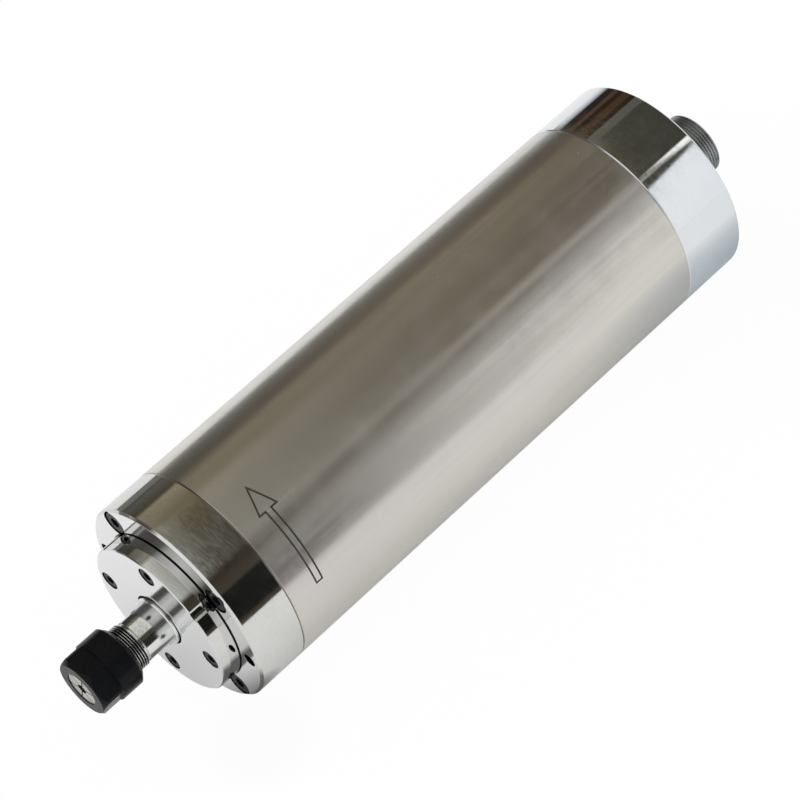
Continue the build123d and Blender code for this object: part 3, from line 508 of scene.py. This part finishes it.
noseThread = {"name": "shaftWithThread", "from": 17.0, "to": 30.6, "pitch": 0.75, "radius": 6.95,
              "depth": 0.40, "mouth": 0.80, "runOut": 0.5, "facets": 56}
plugThread = {"name": "receptacleWithThread", "from": -211.6, "to": -200.4, "pitch": 1.0, "radius": 10.0,
              "depth": 0.50, "mouth": 0.80, "runOut": 0.0, "facets": 60}
cutThread("shaft", "rotor", noseThread)
cutThread("receptacle_shell", "housing", plugThread)


# The turning-direction arrow, etched as a fine outline round the barrel behind the front ring. Its corners
# are given by the place along the spindle, and by the angle round it from +Y.
arrow = {"radius": 32.5, "lift": 0.012, "sink": 0.05, "line": 0.52, "leastMitre": 0.35, "step": 1.0,
         "middle": -26.3, "tipAngle": 77.2, "neckAngle": 62.4, "tailAngle": 18.5, "headHalf": 3.2,
         "stemHalf": 1.05, "tint": (0.045, 0.038, 0.032), "secondTint": (0.025, 0.021, 0.018),
         "patch": 1.5, "metallic": 0.2, "roughness": (0.5, 0.7), "grit": 0.12, "gritDepth": 0.004}


def markFinish(look):
    finish, tree, shader = newFinish("etched_mark_finish")
    place = objectPlace(tree)
    patches = cloud(tree, place, look["patch"], 5)
    tint = mixed(tree, spread(tree, patches, *masks["gloss"]), colour(look["tint"]),
                 colour(look["secondTint"]))
    plug(tree, tint, shader.inputs["Base Color"])
    plug(tree, spread(tree, patches, *masks["gloss"], *look["roughness"]), shader.inputs["Roughness"])
    grit = cloud(tree, place, look["grit"], 2)
    plug(tree, relief(tree, grit, look["gritDepth"]), shader.inputs["Normal"])
    shader.inputs["Metallic"].default_value = look["metallic"]
    return finish


def arrowPoint(along, angle):            # a point just above the barrel
    turn = math.radians(angle)
    out = arrow["radius"] + arrow["lift"]
    return Vector((along, out * math.cos(turn), out * math.sin(turn))) * mm


def arrowSteps(degree):                  # the outline laid out flat, in short steps
    head, stem = arrow["headHalf"], arrow["stemHalf"]
    tip, neck, tail = (arrow[name] * degree for name in ("tipAngle", "neckAngle", "tailAngle"))
    corners = [Vector(spot) for spot in ((0.0, tip), (-head, neck), (-stem, neck), (-stem, tail),
                                         (stem, tail), (stem, neck), (head, neck))]
    steps = []
    for here, there in zip(corners, corners[1:] + corners[:1]):
        count = max(1, int((there - here).length / arrow["step"]))
        steps += [here.lerp(there, k / count) for k in range(count)]
    return steps


def makeArrow():
    degree = math.radians(1) * arrow["radius"]                  # mm on the barrel for each degree
    steps = arrowSteps(degree)
    total = len(steps)
    shape = bmesh.new()
    inner, outer = [], []
    for k, spot in enumerate(steps):
        before = (spot - steps[k - 1]).normalized()
        after = (steps[(k + 1) % total] - spot).normalized()
        side = Vector((before.y + after.y, -before.x - after.x)).normalized()
        mitre = max(arrow["leastMitre"], abs(side.dot(Vector((after.y, -after.x)))))
        reach = arrow["line"] / 2 / mitre
        for row, sign in ((inner, -1), (outer, 1)):
            moved = spot + side * reach * sign
            row.append(shape.verts.new(arrowPoint(arrow["middle"] + moved.x, moved.y / degree)))
    for k in range(total):
        after = (k + 1) % total
        shape.faces.new((inner[k], inner[after], outer[after], outer[k]))
    bmesh.ops.recalc_face_normals(shape, faces=shape.faces)
    middles = [(face.normal, face.calc_center_median()) for face in shape.faces]
    if sum(normal.dot(Vector((0, middle.y, middle.z))) for normal, middle in middles) < 0:
        bmesh.ops.reverse_faces(shape, faces=shape.faces)       # all faces look away from the axis
    mesh = bpy.data.meshes.new("directionArrow")
    shape.to_mesh(mesh)
    shape.free()
    piece = bpy.data.objects.new("directionArrow", mesh)
    bpy.context.scene.collection.objects.link(piece)
    onlySelected(piece)
    body = piece.modifiers.new("body", "SOLIDIFY")              # sinks into the barrel, with no open edge
    body.thickness = arrow["sink"] * mm
    body.offset = -1.0
    bpy.ops.object.modifier_apply(modifier="body")
    mesh.materials.append(markFinish(arrow))
    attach(piece, "housing")
    print("directionArrow made:", len(mesh.polygons), "faces")


makeArrow()


# camera, floor and light

camera = {"place": (0.265179, 0.468109, 0.740446), "back": (0.37412, 0.49654, 0.78325),
          "up": (-0.6171, -0.49716, 0.60993), "lens": 151.546, "sensor": 36.0, "nearest": 0.01,
          "farthest": 50.0}
back = Vector(camera["back"]).normalized()
right = Vector(camera["up"]).cross(back).normalized()
up = back.cross(right).normalized()
lens = bpy.data.cameras.new("camera")
lens.lens = camera["lens"]
lens.sensor_width = camera["sensor"]
lens.clip_start = camera["nearest"]
lens.clip_end = camera["farthest"]
eye = bpy.data.objects.new("camera", lens)
turned = Matrix((right, up, back)).transposed().to_4x4()
eye.matrix_world = Matrix.Translation(Vector(camera["place"])) @ turned
bpy.context.scene.collection.objects.link(eye)
bpy.context.scene.camera = eye

# The painted shadows are darker spots painted on the floor under the rear end and the nose, which the
# polished metal mirrors.
floor = {"size": 8.0, "height": -32.5 * mm, "farEdge": -0.31, "tint": (0.95, 0.95, 0.945),
         "secondTint": (0.93, 0.93, 0.925), "patch": 300.0, "roughness": 0.9, "shine": 0.1,
         "backgroundShare": 0.97, "paintedShadowCore": 0.01,
         # painted shadows under the rear end and the nose
         "paintedShadows": [{"x": -0.215, "y": 0.03, "reach": 0.075, "tint": (0.52, 0.58, 0.61)},
                    {"x": 0.004, "y": 0.029, "reach": 0.019, "tint": (0.20, 0.205, 0.205)}]}
nothingSelected()
bpy.ops.mesh.primitive_plane_add(size=floor["size"], location=(0, 0, 0))
ground = bpy.context.active_object
ground.name = "floor"
for corner in ground.data.vertices:
    corner.co.z += floor["height"]
    corner.co.y = max(corner.co.y, floor["farEdge"])


def floorFinish():
    finish, tree, shader = newFinish("floor_finish")
    place = objectPlace(tree)
    patches = cloud(tree, place, floor["patch"], 2)
    tint = mixed(tree, patches, colour(floor["tint"]), colour(floor["secondTint"]))
    # each painted shadow darkens the floor round a given point
    for shade in floor["paintedShadows"]:
        under = (shade["x"], shade["y"], floor["height"])
        away = vectorCalc(tree, "DISTANCE", place, under, "Value")
        dark = spread(tree, away, floor["paintedShadowCore"], shade["reach"], 1.0, 0.0)
        tint = mixed(tree, dark, tint, colour(shade["tint"]))
    plug(tree, tint, shader.inputs["Base Color"])
    shader.inputs["Roughness"].default_value = floor["roughness"]
    shader.inputs["Specular IOR Level"].default_value = floor["shine"]
    white = tree.nodes.new("ShaderNodeEmission")                # the white background that the camera sees
    white.inputs["Strength"].default_value = 1.0
    cameraRay = tree.nodes.new("ShaderNodeLightPath").outputs["Is Camera Ray"]
    share = calc(tree, "MULTIPLY", cameraRay, floor["backgroundShare"])
    both = mixedShaders(tree, share, shader.outputs["BSDF"], white.outputs["Emission"])
    out = [node for node in tree.nodes if node.bl_idname == "ShaderNodeOutputMaterial"][0]
    plug(tree, both, out.inputs["Surface"])
    return finish


ground.data.materials.append(floorFinish())

# What the polished metal mirrors. Turns go round the spindle's axis in degrees (0 is +Y, 90 straight up),
# and lengthwise directions run from -1 (towards the rear) to 1 (towards the nose). All other light is
# plain, soft and white.
studio = {
    "soft": (1.0, 1.0, 1.0), "softStrength": 1.03, "below": (0.20, 0.195, 0.18),
    "elsewhere": [(0, (0.85, 0.85, 0.84)), (20, (0.62, 0.62, 0.61)), (30, (0.11, 0.108, 0.10)),
                  (50, (0.09, 0.088, 0.08)), (62, (0.50, 0.495, 0.48)), (90, (0.72, 0.715, 0.70)),
                  (118, (0.50, 0.495, 0.48)), (130, (0.13, 0.128, 0.12)), (148, (0.08, 0.078, 0.07)),
                  (172, (0.10, 0.10, 0.095)), (180, (0.45, 0.45, 0.44))],
    "rooms": [
        {"along": (-0.56, -0.345, 0.05), "stops": [
            (0, (0.15, 0.14, 0.12)), (55, (0.17, 0.15, 0.11)), (72, (0.20, 0.17, 0.115)),
            (92, (0.175, 0.143, 0.09)), (104, (0.175, 0.14, 0.088)), (122, (0.26, 0.225, 0.155)),
            (132, (0.25, 0.22, 0.148)), (148, (0.36, 0.32, 0.24)), (160, (0.17, 0.14, 0.10)),
            (180, (0.20, 0.18, 0.155))]},
        {"along": (-0.345, -0.16, 0.05), "stops": [
            (0, (0.08, 0.075, 0.06)), (44, (0.058, 0.050, 0.036)), (58, (0.034, 0.026, 0.012)),
            (72, (0.028, 0.020, 0.004)), (90, (0.040, 0.029, 0.005)), (112, (0.078, 0.056, 0.018)),
            (132, (0.19, 0.155, 0.085)), (153, (0.33, 0.29, 0.205)), (158, (0.085, 0.068, 0.046)),
            (172, (0.12, 0.115, 0.10)), (180, (0.10, 0.10, 0.09))]},
    ],
    "patches": [                 # turn and along are from, to and softness; lean moves turn with the length
        {"what": "dark board", "turn": (4, 36, 3), "along": (-0.36, -0.16, 0.04),
         "tint": (0.006, 0.007, 0.006)},
        {"what": "board's edge", "turn": (-4.5, 4, 2), "along": (-0.36, -0.16, 0.04),
         "tint": (0.065, 0.047, 0.033)},
        {"what": "lamp", "turn": (57, 128, 6), "along": (-0.2875, -0.265, 0.003), "tint": (1.45, 1.47, 1.42)},
        {"what": "lamp's rim", "turn": (57, 150, 10), "along": (-0.2965, -0.2875, 0.002),
         "tint": (0.36, 0.36, 0.33)},
        {"what": "dark wall", "turn": (140, 190, 6), "along": (-0.29, 0.0, 0.01), "tint": (0.03, 0.03, 0.03)},
        {"what": "window", "turn": (-30, 44, 22), "along": (-0.56, -0.365, 0.05), "tint": (0.97, 0.96, 0.93)},
        {"what": "ceiling", "turn": (60, 131, 2), "along": (-0.56, -0.459, 0.003),
         "tint": (0.055, 0.053, 0.042)},
        {"what": "ceiling's end", "turn": (129, 139, 2), "along": (-0.56, -0.457, 0.003),
         "tint": (0.11, 0.105, 0.085)},
        {"what": "dark shelf", "turn": (139, 185, 2), "along": (-0.56, -0.4545, 0.003),
         "tint": (0.025, 0.017, 0.011)},
        {"what": "brown shelf", "turn": (146, 156, 2), "along": (-0.56, -0.4545, 0.003),
         "tint": (0.07, 0.035, 0.017)},
        {"what": "second shelf", "turn": (163, 169, 2), "along": (-0.56, -0.4545, 0.003),
         "tint": (0.09, 0.05, 0.028)},
        {"what": "slit's frame", "turn": (50, 72, 1), "along": (-0.56, -0.459, 0.003),
         "tint": (0.05, 0.047, 0.035)},
        {"what": "window slit", "turn": (61.6, 68, 1.5), "along": (-0.56, -0.4645, 0.002),
         "tint": (1.3, 1.28, 1.2)},
        {"what": "slit's corner", "turn": (52, 61.6, 1), "along": (-0.49, -0.459, 0.001), "lean": 560,
         "leanFrom": -0.477, "tint": (0.05, 0.047, 0.035)},
        {"what": "pale floor behind", "turn": (-176, -150, 8), "along": (-0.56, -0.4545, 0.003),
         "tint": (0.75, 0.79, 0.83)},
        {"what": "window by the cap", "turn": (-30, 57.4, 2), "along": (-0.56, -0.457, 0.003), "lean": -282,
         "leanFrom": -0.477, "tint": (0.97, 0.98, 0.99)},
        {"what": "lit shelf edge", "turn": (63, 65.5, 0.8), "along": (-0.459, -0.37, 0.03),
         "tint": (0.7, 0.66, 0.56)},
        {"what": "open front", "turn": (-200, 200, 1), "along": (0.78, 1.5, 0.06), "tint": (1.0, 1.0, 1.0)},
    ],
}


def angleRamp(tree, part, stops):        # tints by the turn, as a part of half a turn
    node = tree.nodes.new("ShaderNodeValToRGB")
    ramp = node.color_ramp
    while len(ramp.elements) > 1:
        ramp.elements.remove(ramp.elements[-1])
    ramp.elements[0].position = stops[0][0] / 180
    ramp.elements[0].color = colour(stops[0][1])
    for angle, shade in stops[1:]:
        ramp.elements.new(angle / 180).color = colour(shade)
    plug(tree, part, node.inputs["Fac"])
    return node.outputs["Color"]


def patchMask(tree, patch, turn, x):     # 1 where a ray meets the patch
    if "lean" in patch:
        lean = calc(tree, "MULTIPLY", calc(tree, "SUBTRACT", x, patch["leanFrom"]), patch["lean"])
        turn = calc(tree, "SUBTRACT", turn, lean)
    return calc(tree, "MULTIPLY", within(tree, turn, *patch["turn"]), within(tree, x, *patch["along"]))


def glow(tree, tint, strength=1.0):
    node = tree.nodes.new("ShaderNodeBackground")
    plug(tree, tint, node.inputs["Color"])
    node.inputs["Strength"].default_value = strength
    return node.outputs[0]


def makeStudio():
    world = bpy.data.worlds.new("studio")
    world.use_nodes = True
    bpy.context.scene.world = world
    tree = world.node_tree
    tree.nodes.clear()
    x, y, z = partsOf(tree, tree.nodes.new("ShaderNodeTexCoord").outputs["Generated"])
    turn = calc(tree, "MULTIPLY", calc(tree, "ARCTAN2", z, y), 180 / math.pi)
    part = calc(tree, "DIVIDE", turn, 180.0, True)
    shade = angleRamp(tree, part, studio["elsewhere"])
    for room in studio["rooms"]:
        shade = mixed(tree, within(tree, x, *room["along"]), shade, angleRamp(tree, part, room["stops"]))
    shade = mixed(tree, calc(tree, "LESS_THAN", z, 0.0), shade, colour(studio["below"]))
    for patch in studio["patches"]:
        shade = mixed(tree, patchMask(tree, patch, turn, x), shade, colour(patch["tint"]))
    mirrored = glow(tree, shade)
    soft = glow(tree, colour(studio["soft"]), studio["softStrength"])
    white = glow(tree, (1.0, 1.0, 1.0, 1.0))
    ray = tree.nodes.new("ShaderNodeLightPath")
    lit = mixedShaders(tree, ray.outputs["Is Glossy Ray"], soft, mirrored)
    seen = mixedShaders(tree, ray.outputs["Is Camera Ray"], lit, white)
    plug(tree, seen, tree.nodes.new("ShaderNodeOutputWorld").inputs["Surface"])


makeStudio()
bpy.context.scene.view_settings.view_transform = "Standard"
print("camera, floor and studio set")
